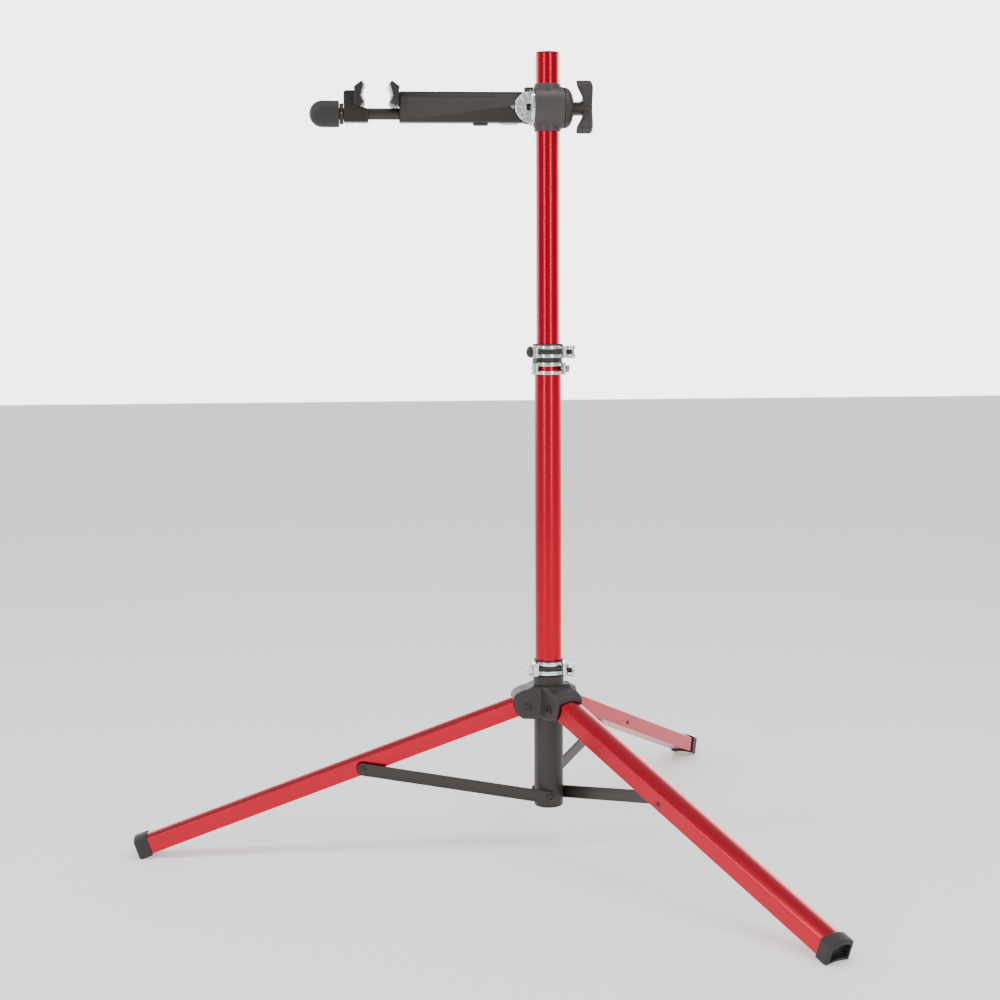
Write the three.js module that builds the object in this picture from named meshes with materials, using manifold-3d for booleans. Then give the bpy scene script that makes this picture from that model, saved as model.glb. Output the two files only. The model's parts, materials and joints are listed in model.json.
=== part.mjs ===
// Bike repair stand: telescoping mast on a folding tripod, with a rotating clamp head.
// Millimetres, +Z up. The mast stands upright, the clamp arm reaches along -X over one leg.
import * as THREE from 'three';
import { mergeVertices } from 'three/addons/utils/BufferGeometryUtils.js';
import Module from 'manifold-3d';

const wasm = await Module();
wasm.setup();

// ---- driving dimensions ----
const GAP = 0.3;                 // between pieces that touch
const ROUND = 32;                // sides of a round piece
const MAST_X = 157.53;           // mast axis from the centre of the footprint

const LOWER_R = 21;              // lower mast tube
const LOWER_WALL = 1.8;
const LOWER_BOTTOM = 73;
const LOWER_TOP = 808;
const UPPER_R = 18.2;            // upper mast tube
const UPPER_WALL = 1.6;
const UPPER_BOTTOM = 432;
const UPPER_TOP = 1260;

const SLEEVE_R = 23.35;          // black bottom sleeve
const SLEEVE_BOTTOM = 69.7;
const SLEEVE_TOP = 211.5;

const HUB_BOTTOM = 212;          // sliding hub
const HUB_NECK_TOP = 281;
const HUB_R = 26;
const BAND_R = 24.8;             // clamp bands
const BAND_BORE = 22.6;
const BAND_Z = 283;
const BAND_H = 21;
const CLAMP_Z = 763.5;            // mast clamp, two bands high
const CLAMP_H = 45.5;
const CLAMP_TOP = CLAMP_Z + CLAMP_H;

const LEG_ANGLES = { left: 180, front: -60, back: 60 };
const LEG_SPREAD = 70.4;         // between a leg and the vertical
const PIVOT_R = 36;              // leg pivot from the mast axis
const PIVOT_Z = 232.5;
const PIVOT_DROP = 4.5;          // leg pivot below the leg's centre line
const LEG_LENGTH = 661.5;
const LEG_START = -8;            // leg's inner end, from its pivot
const LEG_HALF = 19.5;
const STRUT_REACH = 280.7;       // strut rivet from the leg pivot
const STRUT_Z = 84;              // strut pivots on the sleeve
const STRUT_INNER = 24;          // strut's inner face from the leg's middle plane
const STRUT_T = 4;
const STRUT_HALF = 10;

const HEAD_Z = 1177;             // axis of the rotating arm
const HEAD_R = 32;
const HEAD_LEFT = -21;
const HEAD_RIGHT = 25;
const BOSS_R = 21;
const BOSS_HALF = 36.5;          // half the height of the bored bosses
const PIN_X = -55.5;             // fold pin of the arm
const COUPLING_R = 24;            // ribbed cheeks
const ARM_LEFT = -230.5;
const ARM_HALF_H = 23.3;
const ARM_HALF_D = 15;
const ARM_WALL = 2.5;
const SCREW_Z = HEAD_Z - 10;
const SCREW_R = 8.8;
const JAW_HALF_LENGTH = 35;
const KNOB_R = 20.3;

// ---- materials ----
function material(color, roughness, metalness) {
  return new THREE.MeshStandardMaterial({ color, roughness, metalness });
}
const red = material(0xc8202f, 0.3, 0.8);
const black = material(0x3a3635, 0.5, 0.1);
const anodised = material(0x3b3736, 0.4, 0.6);
const casting = material(0x6a6665, 0.5, 0.4);
const silver = material(0xd5dad8, 0.25, 0.95);
const steel = material(0xa9a9a9, 0.3, 0.9);
const rubber = material(0x2a2727, 0.8, 0);
const padGrey = material(0x9a9a98, 0.7, 0);

// ---- solids: each helper returns a manifold solid ----
function solid(geometry) {
  const bare = geometry.clone();
  bare.deleteAttribute('normal');
  bare.deleteAttribute('uv');
  const welded = mergeVertices(bare, 1e-4);
  return new wasm.Manifold(new wasm.Mesh({
    numProp: 3,
    vertProperties: new Float32Array(welded.attributes.position.array),
    triVerts: new Uint32Array(welded.index.array),
  }));
}

function geometryOf(body) {
  const mesh = body.getMesh();
  const geometry = new THREE.BufferGeometry();
  geometry.setAttribute('position', new THREE.BufferAttribute(new Float32Array(mesh.vertProperties), 3));
  geometry.setIndex(new THREE.BufferAttribute(new Uint32Array(mesh.triVerts), 1));
  const faceted = geometry.toNonIndexed();
  faceted.computeVertexNormals();
  return faceted;
}

function box(low, high) {
  const size = high.map((value, n) => value - low[n]);
  const geometry = new THREE.BoxGeometry(...size);
  geometry.translate(...low.map((value, n) => value + size[n] / 2));
  return solid(geometry);
}

// Turned piece about an axis: profile of [radius, along] points, closed on the axis or on itself.
function turned(profile, axis = 'z', sides = ROUND) {
  const points = profile.map(([r, h]) => new THREE.Vector2(r, h));
  const geometry = new THREE.LatheGeometry(points, sides);
  if (axis === 'z') geometry.rotateX(Math.PI / 2);
  if (axis === 'x') geometry.rotateZ(-Math.PI / 2);
  return solid(geometry);
}

function rod(r, from, to, axis = 'z', sides = ROUND) {
  return turned([[0, from], [r, from], [r, to], [0, to]], axis, sides);
}

function ring(inner, outer, from, to, axis = 'z', sides = ROUND) {
  return turned([[inner, from], [outer, from], [outer, to], [inner, to], [inner, from]], axis, sides);
}

// Plate in the XZ plane between two Y values.
function plate(shape, y0, y1, segments = 6) {
  const geometry = new THREE.ExtrudeGeometry(shape, {
    depth: y1 - y0, bevelEnabled: false, curveSegments: segments,
  });
  geometry.rotateX(Math.PI / 2);
  geometry.translate(0, y1, 0);
  return solid(geometry);
}

function outline(points) {
  return new THREE.Shape(points.map(([x, z]) => new THREE.Vector2(x, z)));
}

function arc(x, z, r, from, to, steps) {
  const points = [];
  for (let n = 0; n <= steps; n++) {
    const angle = THREE.MathUtils.degToRad(from + (to - from) * n / steps);
    points.push([x + r * Math.cos(angle), z + r * Math.sin(angle)]);
  }
  return points;
}

function moved(body, x, y, z) {
  const geometry = geometryOf(body);
  geometry.translate(x, y, z);
  return solid(geometry);
}

function swung(body, degrees) {
  const geometry = geometryOf(body);
  geometry.rotateZ(THREE.MathUtils.degToRad(degrees));
  return solid(geometry);
}

// ---- scene graph ----
const stand = new THREE.Group();
stand.position.set(MAST_X, 0, 0);

function add(name, body, look, parent = stand) {
  const mesh = new THREE.Mesh(geometryOf(body), look);
  mesh.name = name;
  parent.add(mesh);
  return mesh;
}

// ---- mast ----
const SKEWER_Y = -26;
const LUG_IN = 18;               // lugs that the skewer pulls together
const LUG_LEFT = 28;
const LUG_RIGHT = 26;
const CAM_X = 33.7;              // hinge of the lever
const CAM_R = 7.3;
const WINDOW_H = 7.4;

// Band round the tube with two front lugs, and a slit beside the right lug.
function clampBand(z0, z1) {
  const band = ring(BAND_BORE, BAND_R, z0, z1)
    .add(box([LUG_IN, -32, z0], [LUG_RIGHT, -8, z1]))
    .add(box([-LUG_LEFT, -32, z0], [-LUG_IN, -8, z1]))
    .subtract(box([LUG_IN + 0.8, -40, z0 - 1], [LUG_IN + 2, -12, z1 + 1]));
  return band.subtract(rod(BAND_BORE, z0 - 1, z1 + 1));
}

// Opening in the front of a band that shows the tube.
function window(z) {
  return box([-LUG_IN, -40, z - WINDOW_H / 2], [LUG_IN, -8, z + WINDOW_H / 2]);
}

function skewer() {
  return rod(3.2, -LUG_LEFT - 7.5, CAM_X + 1.5, 'x', 20);
}

// Domed nut on the skewer's left end.
function adjustingNut() {
  const start = LUG_LEFT + GAP;
  return turned([
    [0, -start - 8.8], [5.2, -start - 7.6], [8.2, -start - 4.8], [9.3, -start - 1.8], [9.3, -start],
    [3.5, -start], [3.5, -start - 7.6], [0, -start - 7.6],
  ], 'x', 24);
}

// Forked cam on the skewer's right end, with a grip that curves back round the tube.
function lever() {
  const cam = turned([[0, -10], [5.8, -10], [CAM_R, -8.5], [CAM_R, 8.5], [5.8, 10], [0, 10]], 'z', 24);
  const fork = box([-20, -20, -3.7], [20, 3.7, 3.7]);
  const outside = arc(0, 0, 34.5, -15, 62, 7);
  const inner = arc(0, 0, 30.5, 62, -15, 7);
  const shape = outline([[CAM_X - 2, SKEWER_Y + 4.2], [CAM_X + 3.5, SKEWER_Y + 4.2], ...outside, ...inner]);
  const grip = new THREE.ExtrudeGeometry(shape, { depth: 12, bevelEnabled: false });
  grip.translate(0, 0, -6);
  return moved(cam.subtract(fork), CAM_X, SKEWER_Y, 0).add(solid(grip));
}

function quickRelease(name, z, nutLook) {
  add(`${name}_skewer`, moved(skewer(), 0, SKEWER_Y, z), black);
  add(`${name}_adjusting_nut`, moved(adjustingNut(), 0, SKEWER_Y, z), nutLook);
  add(`${name}_lever`, moved(lever(), 0, 0, z), silver);
}

function skewerHole(z) {
  return moved(rod(3.6, -40, 40, 'x', 20), 0, SKEWER_Y, z);
}

const clampSkewerZ = CLAMP_Z + 35.9;
const clampScrewZ = CLAMP_Z + 9.4;
const bandSkewerZ = BAND_Z + BAND_H / 2;

add('lower_mast_tube', ring(LOWER_R - LOWER_WALL, LOWER_R, LOWER_BOTTOM, LOWER_TOP), red);
add('upper_mast_tube', ring(UPPER_R - UPPER_WALL, UPPER_R, UPPER_BOTTOM, UPPER_TOP), red);
add('mast_top_plug', turned([
  [0, UPPER_TOP - 14], [16.2, UPPER_TOP - 14], [16.2, UPPER_TOP + GAP], [UPPER_R, UPPER_TOP + GAP],
  [UPPER_R - 0.5, UPPER_TOP + 2], [0, UPPER_TOP + 2],
]), black);
add('upper_tube_guide', turned([
  [14, UPPER_BOTTOM - 8], [18.8, UPPER_BOTTOM - 8], [18.8, UPPER_BOTTOM - GAP],
  [16.2, UPPER_BOTTOM - GAP], [16.2, UPPER_BOTTOM + 14], [14, UPPER_BOTTOM + 14], [14, UPPER_BOTTOM - 8],
]), black);
add('mast_foot_plug', turned([
  [0, SLEEVE_BOTTOM - 4], [21.5, SLEEVE_BOTTOM - 4], [SLEEVE_R, SLEEVE_BOTTOM - 2],
  [SLEEVE_R, SLEEVE_BOTTOM - GAP], [18.8, SLEEVE_BOTTOM - GAP], [18.8, 92], [0, 92],
]), black);

let mastClamp = clampBand(CLAMP_Z, CLAMP_TOP)
  .subtract(window(clampSkewerZ))
  .subtract(window(clampScrewZ))
  .subtract(box([-40, -40, CLAMP_Z + 18.9], [40, 6, CLAMP_Z + 26.3]));
mastClamp = mastClamp.subtract(skewerHole(clampSkewerZ)).subtract(skewerHole(clampScrewZ));
add('mast_clamp', mastClamp, silver);
add('mast_clamp_bushing', turned([
  [21.3, CLAMP_Z + 15], [22.3, CLAMP_Z + 15], [22.3, CLAMP_TOP + GAP], [24.2, CLAMP_TOP + GAP],
  [24.2, CLAMP_TOP + 2.2], [18.6, CLAMP_TOP + 2.2], [18.6, LOWER_TOP + 0.5],
  [21.3, LOWER_TOP + 0.5], [21.3, CLAMP_Z + 15],
]), black);
quickRelease('mast_clamp', clampSkewerZ, black);
add('mast_clamp_screw', moved(turned([
  [0, LUG_IN + 2.5], [2.8, LUG_IN + 2.5], [2.8, LUG_RIGHT + GAP], [5.6, LUG_RIGHT + GAP],
  [5.6, LUG_RIGHT + 4], [4.6, LUG_RIGHT + 5.2], [0, LUG_RIGHT + 5.2],
], 'x', 20), 0, SKEWER_Y, clampScrewZ), steel);

// ---- sleeve with the three strut pivots ----
let sleeve = ring(21.3, SLEEVE_R, SLEEVE_BOTTOM, SLEEVE_TOP);
for (const angle of Object.values(LEG_ANGLES)) {
  const boss = moved(rod(9, 15, STRUT_INNER - GAP, 'y', 20), 0, 0, STRUT_Z);
  sleeve = sleeve.add(swung(boss, angle));
}
sleeve = sleeve.subtract(rod(21.3, SLEEVE_BOTTOM - 5, SLEEVE_TOP + 5));
for (const angle of Object.values(LEG_ANGLES)) {
  const hole = moved(rod(3.3, 15, 40, 'y', 16), 0, 0, STRUT_Z);
  sleeve = sleeve.subtract(swung(hole, angle));
}
add('mast_sleeve', sleeve, black);

// ---- hub ----
const spread = THREE.MathUtils.degToRad(LEG_SPREAD);
const along = new THREE.Vector3(Math.sin(spread), 0, -Math.cos(spread));
const across = new THREE.Vector3(Math.cos(spread), 0, Math.sin(spread));
const legFrame = new THREE.Matrix4()
  .makeBasis(new THREE.Vector3(0, 1, 0), across, along)
  .setPosition(PIVOT_R, 0, PIVOT_Z);

function fromPivot(across_, along_) {
  return [
    PIVOT_R + across.x * across_ + along.x * along_,
    PIVOT_Z + across.z * across_ + along.z * along_,
  ];
}

// One arm of the hub is a hood over the leg's inner end.
function hood() {
  return plate(outline([
    [12, HUB_BOTTOM], [44, HUB_BOTTOM + 1], [53, HUB_BOTTOM + 9], [58.5, HUB_BOTTOM + 21],
    [59.5, HUB_BOTTOM + 34], [56, HUB_BOTTOM + 41], [46, HUB_BOTTOM + 46.5], [34, HUB_BOTTOM + 50],
    [26, HUB_BOTTOM + 55], [12, HUB_BOTTOM + 55],
  ]), -26, 26);
}

// Room for the leg at rest and through its fold.
function hoodSlot() {
  const reach = 22.2;
  const turns = [];
  for (let n = 0; n <= 4; n++) {
    const angle = THREE.MathUtils.degToRad(118 - n * (118 - LEG_SPREAD) / 4);
    turns.push([PIVOT_R + reach * Math.cos(angle), PIVOT_Z + reach * Math.sin(angle)]);
  }
  return plate(outline([
    [24.3, HUB_BOTTOM - 20], [24.3, PIVOT_Z + 19.5], ...turns,
    fromPivot(21, 5.5), fromPivot(16.3, 12), fromPivot(16.3, 70), [110, HUB_BOTTOM - 20],
  ]), -LEG_HALF - 0.8, LEG_HALF + 0.8).add(lengthOf(legSection(0.8), LEG_START - 1, 70));
}

let hub = rod(HUB_R, HUB_BOTTOM, HUB_BOTTOM + 55).add(rod(24.6, HUB_BOTTOM + 40, HUB_NECK_TOP));
for (const angle of Object.values(LEG_ANGLES)) {
  hub = hub.add(swung(hood(), angle));
}
for (const angle of Object.values(LEG_ANGLES)) {
  hub = hub.subtract(swung(hoodSlot(), angle));
  const hole = moved(rod(4.4, -40, 40, 'y', 16), PIVOT_R, 0, PIVOT_Z);
  hub = hub.subtract(swung(hole, angle));
}
hub = hub.subtract(rod(21.6, HUB_BOTTOM - 20, HUB_NECK_TOP + 20));
add('hub_casting', hub, black);
const hubBand = clampBand(BAND_Z, BAND_Z + BAND_H)
  .subtract(window(bandSkewerZ))
  .subtract(skewerHole(bandSkewerZ));
add('hub_band', hubBand, silver);
add('hub_bushing', turned([
  [21.5, HUB_NECK_TOP + GAP], [22.3, HUB_NECK_TOP + GAP], [22.3, BAND_Z + BAND_H + GAP],
  [23.8, BAND_Z + BAND_H + GAP], [23.8, BAND_Z + BAND_H + 2], [21.5, BAND_Z + BAND_H + 2],
  [21.5, HUB_NECK_TOP + GAP],
]), black);
quickRelease('hub', bandSkewerZ, silver);

// ---- legs and struts ----
function legSection(grow) {
  const wide = LEG_HALF + grow;
  const low = PIVOT_DROP - 15 - grow;
  const high = PIVOT_DROP + 11 + grow;
  const shape = new THREE.Shape();
  shape.moveTo(-wide, low);
  shape.quadraticCurveTo(0, low + 5, wide, low);
  shape.lineTo(wide, high);
  shape.quadraticCurveTo(0, high + 9, -wide, high);
  return shape;
}

function lengthOf(shape, from, to) {
  const settings = { depth: to - from, bevelEnabled: false, curveSegments: 6 };
  const geometry = new THREE.ExtrudeGeometry(shape, settings);
  geometry.translate(0, 0, from);
  geometry.applyMatrix4(legFrame);
  return solid(geometry);
}

// The heel is cut away so that the inner end turns clear of the hub's neck.
function legTube() {
  const hollow = legSection(0);
  hollow.holes.push(legSection(-2));
  const hole = moved(rod(4.4, -40, 40, 'y', 16), PIVOT_R, 0, PIVOT_Z);
  const heel = lengthOf(outline([[-30, -30], [30, -30], [30, -6], [-30, -6]]), LEG_START - 1, -4);
  return lengthOf(hollow, LEG_START, LEG_LENGTH - 4).subtract(hole).subtract(heel);
}

function footCap() {
  const outer = lengthOf(legSection(2.5), LEG_LENGTH - 22, LEG_LENGTH);
  const socket = lengthOf(legSection(GAP), LEG_LENGTH - 30, LEG_LENGTH - 4 + GAP);
  const recess = lengthOf(legSection(-2), LEG_LENGTH - 2, LEG_LENGTH + 5);
  const floor = box([0, -60, -30], [900, 60, 0]);
  return outer.subtract(socket).subtract(recess).subtract(floor);
}

function pivotBolt() {
  return moved(turned([
    [0, -28.5], [5.2, -28.5], [6.3, -27.8], [6.3, -26.3], [4, -26.3],
    [4, 26.3], [6.3, 26.3], [6.3, 27.8], [5.2, 28.5], [0, 28.5],
  ], 'y', 20), PIVOT_R, 0, PIVOT_Z);
}

function strutBolt() {
  return moved(turned([
    [0, 22], [3, 22], [3, 28.3], [7, 28.3], [7, 30.3], [5, 31.3], [0, 31.3],
  ], 'y', 20), 0, 0, STRUT_Z);
}

function strutRivet() {
  const [x, z] = fromPivot(0, STRUT_REACH);
  return moved(turned([
    [0, LEG_HALF + GAP], [6, LEG_HALF + GAP], [6, STRUT_INNER - GAP], [3, STRUT_INNER - GAP],
    [3, 28.3], [6.5, 28.3], [6.5, 29.5], [4, 30.8], [0, 30.8],
  ], 'y', 20), x, 0, z);
}

function rivetTail() {
  const [x, z] = fromPivot(0, STRUT_REACH);
  const face = -LEG_HALF - GAP;
  return moved(turned([[0, face - 1.8], [2.5, face - 1.6], [3.6, face], [0, face]], 'y', 16), x, 0, z);
}

function strut() {
  const [x, z] = fromPivot(0, STRUT_REACH);
  const length = Math.hypot(x, z - STRUT_Z);
  const shape = new THREE.Shape();
  shape.absarc(0, 0, STRUT_HALF, Math.PI / 2, 3 * Math.PI / 2, false);
  shape.absarc(length, 0, STRUT_HALF, -Math.PI / 2, Math.PI / 2, false);
  for (const at of [0, length]) {
    const hole = new THREE.Path();
    hole.absarc(at, 0, 3.4, 0, 2 * Math.PI, true);
    shape.holes.push(hole);
  }
  const geometry = geometryOf(plate(shape, STRUT_INNER, STRUT_INNER + STRUT_T, 8));
  geometry.rotateY(-Math.atan2(z - STRUT_Z, x));
  geometry.translate(0, 0, STRUT_Z);
  return solid(geometry);
}

for (const [side, angle] of Object.entries(LEG_ANGLES)) {
  const place = new THREE.Group();
  place.rotation.z = THREE.MathUtils.degToRad(angle);
  stand.add(place);
  add(`${side}_leg_tube`, legTube(), red, place);
  add(`${side}_foot_cap`, footCap(), rubber, place);
  add(`${side}_leg_pivot_bolt`, pivotBolt(), black, place);
  add(`${side}_strut`, strut(), black, place);
  add(`${side}_strut_bolt`, strutBolt(), black, place);
  add(`${side}_strut_rivet`, strutRivet(), black, place);
  add(`${side}_leg_rivet_tail`, rivetTail(), black, place);
}

// ---- head: barrel on the upper tube, tension knob on its right ----
const head = new THREE.Group();
head.position.set(0, 0, HEAD_Z);
stand.add(head);

const barrel = rod(HEAD_R, HEAD_LEFT, HEAD_RIGHT, 'x', 40)
  .add(rod(BOSS_R, -BOSS_HALF, BOSS_HALF))
  .subtract(rod(18.6, -60, 60))
  .subtract(rod(5.4, 10, 40, 'x', 16));
add('head_barrel', barrel, casting, head);
add('head_end_cap', turned([
  [10, HEAD_RIGHT + GAP], [31.5, HEAD_RIGHT + GAP], [30.5, HEAD_RIGHT + 5], [27, HEAD_RIGHT + 10.5],
  [19, HEAD_RIGHT + 14.5], [10, HEAD_RIGHT + 15], [10, HEAD_RIGHT + GAP],
], 'x', 40), black, head);
add('tension_spindle', rod(5, 20, 62, 'x', 16), steel, head);

function knobLobe(angle) {
  const side = [[54, 0], [54, 14], [43, 39], [43.5, 43], [66, 43], [69.3, 39], [69.3, 0]];
  const lobe = plate(outline(side), -8, 8);
  const geometry = geometryOf(lobe);
  geometry.rotateX(THREE.MathUtils.degToRad(angle));
  return solid(geometry);
}

let tensionKnob = rod(9.3, HEAD_RIGHT + 3, 69.3, 'x', 24);
for (const angle of [-90, 30, 150]) {
  tensionKnob = tensionKnob.add(knobLobe(angle));
}
tensionKnob = tensionKnob.subtract(rod(5.3, 10, 62.5, 'x', 16));
add('tension_knob', tensionKnob, black, head);

// ---- rotating coupling: disc, two ribbed cheeks and a tongue that holds the fold pin ----
const CHEEK_X = -28.5;
const cheekShape = outline(arc(CHEEK_X, 0, COUPLING_R, 73, 287, 22));
const tongueShape = outline([
  [HEAD_LEFT - 3, -13], [HEAD_LEFT - 3, 13], [PIN_X, 9], ...arc(PIN_X, 0, 9, 110, 250, 6),
]);
let coupling = rod(28, HEAD_LEFT - 6, HEAD_LEFT - GAP, 'x', 32)
  .add(plate(cheekShape, -20, -15.4))
  .add(plate(cheekShape, 15.4, 20))
  .add(plate(tongueShape, -8, 8));
coupling = coupling.subtract(box([-100, -30, -40], [HEAD_LEFT - 30, -15, 40]));
for (const angle of [121, 152, 190, 224]) {
  const [x, z] = arc(CHEEK_X, 0, 17.5, angle, angle, 1)[0];
  const pocket = outline(arc(x, z, 3.6, 0, 300, 5));
  coupling = coupling.subtract(plate(pocket, -25, -15)).subtract(plate(pocket, 15, 25));
}
const pinHole = plate(outline(arc(PIN_X, 0, 3, 0, 337.5, 15)), -30, 30);
coupling = coupling.subtract(pinHole);
add('arm_coupling', coupling, silver, head);
add('fold_pin', moved(rod(2.6, -17, 17, 'y', 16), PIN_X, 0, 0), steel, head);
add('fold_latch', plate(outline([
  [-36, 24.2], [-27.4, 24.2], [-27.4, 28.4], [-21.8, 28.4], [-21.8, 31], [-36, 31],
]), -8, 8), black, head);

// ---- clamp arm ----
const endReach = 27.5;
const endTurn = THREE.MathUtils.radToDeg(Math.asin(ARM_HALF_H / endReach));
const armShape = outline([
  [ARM_LEFT, -ARM_HALF_H], ...arc(PIN_X, 0, endReach, -endTurn, endTurn, 8), [ARM_LEFT, ARM_HALF_H],
]);
const inside = ARM_HALF_D - ARM_WALL;
const tongueRoom = box([-71, -8.4, -40], [0, 8.4, 0]);
const armTube = plate(armShape, -ARM_HALF_D, ARM_HALF_D)
  .subtract(box([ARM_LEFT - 5, -inside, -ARM_HALF_H + ARM_WALL], [0, inside, ARM_HALF_H - ARM_WALL]))
  .subtract(pinHole)
  .subtract(tongueRoom)
  .subtract(box([-116.5, -6.5, -40], [-92.5, 6.5, 0]));
add('arm_tube', armTube, anodised, head);

const insertShape = outline([
  [-84, -20], ...arc(PIN_X, 0, 26.5, -48, 48, 8), [-84, 20],
]);
const hingeInsert = plate(insertShape, -inside + GAP, inside - GAP)
  .subtract(box([-78, -8.4, -40], [0, 8.4, 40]))
  .subtract(pinHole);
add('arm_hinge_insert', hingeInsert, silver, head);

const screwZ = SCREW_Z - HEAD_Z;
const screwBore = moved(rod(SCREW_R + 0.4, -400, 0, 'x', 24), 0, 0, screwZ);
const plugHalf = ARM_HALF_H - ARM_WALL - GAP;
add('arm_end_plug', box([ARM_LEFT, -inside + GAP, -plugHalf], [ARM_LEFT + 20, inside - GAP, plugHalf])
  .subtract(screwBore), black, head);
add('ratchet_block', box([-126, -11.5, 0.5], [-92, 11.5, 20]), steel, head);
add('release_button', box([-116, -6, -27.5], [-93, 6, -20.9]), black, head);
add('arm_lock_plate', box([-77, -12, -25.4], [-46, 12, -23.6]).subtract(tongueRoom), silver, head);

// ---- jaws, mirrored about the middle of the mouth ----
const MOUTH_X = -264.9;
const jawPoints = [
  [-244.5, 34.5], [-241.5, 37.5], [-229.5, 28.5], [-230.9, 24.4], [-230.9, 1], [-238.5, 1], [-244.5, 3.5],
  [-239.5, 15.3],
];
const padPoints = [
  [-244.9, 34.2], [-239.9, 15.3], [-244.9, 4.2], [-247, 5.8], [-242.6, 15.3], [-247.2, 32.6],
];
const mirrored = (points) => points.map(([x, z]) => [2 * MOUTH_X - x, z]).reverse();

add('fixed_jaw', plate(outline(jawPoints), -JAW_HALF_LENGTH, JAW_HALF_LENGTH), black, head);
add('fixed_jaw_pad', plate(outline(padPoints), -JAW_HALF_LENGTH, JAW_HALF_LENGTH), padGrey, head);
add('moving_jaw_pad', plate(outline(mirrored(padPoints)), -JAW_HALF_LENGTH, JAW_HALF_LENGTH), padGrey, head);
const jawBlock = plate(outline([
  [-316, -23], [-278, -23], [-278, -3], [-286, 0], [-297, 1], [-297, 25], [-313, 25], [-316, 22.5],
]), -14, 14);
const movingJaw = plate(outline(mirrored(jawPoints)), -JAW_HALF_LENGTH, JAW_HALF_LENGTH)
  .add(jawBlock).subtract(screwBore);
add('moving_jaw', movingJaw, black, head);

// ---- screw and bulb knob ----
const screw = new THREE.Group();
screw.position.set(0, 0, screwZ);
head.add(screw);
add('clamp_screw', rod(SCREW_R, -342, -128, 'x', 24), black, screw);
add('knob_collar', ring(SCREW_R + GAP, 16, -322.4, -316.3, 'x').subtract(
  moved(rod(1.9, -40, -10, 'y', 12), -319.3, 0, 0)), black, screw);
add('collar_set_screw', moved(rod(1.6, -15.7, -10, 'y', 12), -319.3, 0, 0), steel, screw);
const bulbNose = arc(-348.7, 0, KNOB_R, 180, 90, 8).map(([x, r]) => [Math.max(r, 0), x]);
add('clamp_knob', turned([
  ...bulbNose, [KNOB_R, -324.5], [19, -322.8], [SCREW_R + GAP, -322.8], [SCREW_R + GAP, -342.4], [0, -342.4],
], 'x'), rubber, screw);

export default stand;
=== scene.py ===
"""Bike repair stand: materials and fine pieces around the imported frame."""
import json
import math

import bmesh
import bpy
from mathutils import Matrix, Vector


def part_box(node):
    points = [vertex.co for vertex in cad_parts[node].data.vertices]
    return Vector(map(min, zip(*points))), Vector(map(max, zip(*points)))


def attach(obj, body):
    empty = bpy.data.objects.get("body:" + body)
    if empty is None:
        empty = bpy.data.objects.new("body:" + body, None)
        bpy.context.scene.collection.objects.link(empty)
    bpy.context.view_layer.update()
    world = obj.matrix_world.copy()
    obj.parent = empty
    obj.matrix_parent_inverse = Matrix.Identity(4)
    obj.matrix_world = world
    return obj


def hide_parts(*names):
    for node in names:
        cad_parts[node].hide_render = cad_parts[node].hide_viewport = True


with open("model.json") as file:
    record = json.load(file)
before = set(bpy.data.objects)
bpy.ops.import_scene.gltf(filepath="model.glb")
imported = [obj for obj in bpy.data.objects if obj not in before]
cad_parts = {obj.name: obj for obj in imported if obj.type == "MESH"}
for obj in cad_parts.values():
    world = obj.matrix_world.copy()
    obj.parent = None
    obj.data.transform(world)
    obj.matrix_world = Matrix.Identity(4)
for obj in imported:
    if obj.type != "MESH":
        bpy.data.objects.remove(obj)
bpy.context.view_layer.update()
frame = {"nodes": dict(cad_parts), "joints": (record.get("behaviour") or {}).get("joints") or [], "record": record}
MM = 0.001


# ---- places read from the frame ----
def centre(node):
    low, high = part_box(node)
    return (low + high) / 2


MAST = centre("lower_mast_tube")
MAST_X = MAST.x
JOINTS = {joint["name"]: joint for joint in frame["joints"]}


# ---- stage ----
ROOM_FRONT = 0.6        # strength of the dim side of the room
ROOM_BACK = 4.5         # strength of the bright band behind the stand
LAMPS = (               # name, place, width and height, watts
    ("left", (-1.7, -2.4, 1.5), (0.3, 2.6), 22),
    ("right", (1.5, -2.9, 1.5), (0.4, 2.6), 26),
    ("top_left", (-1.6, -0.4, 2.8), (0.4, 2.6), 30),
    ("top_right", (1.2, -0.4, 2.8), (0.4, 2.6), 30),
)
LAMP_TARGET_Z = 0.6
FLOOR_HALF = 12


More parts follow.
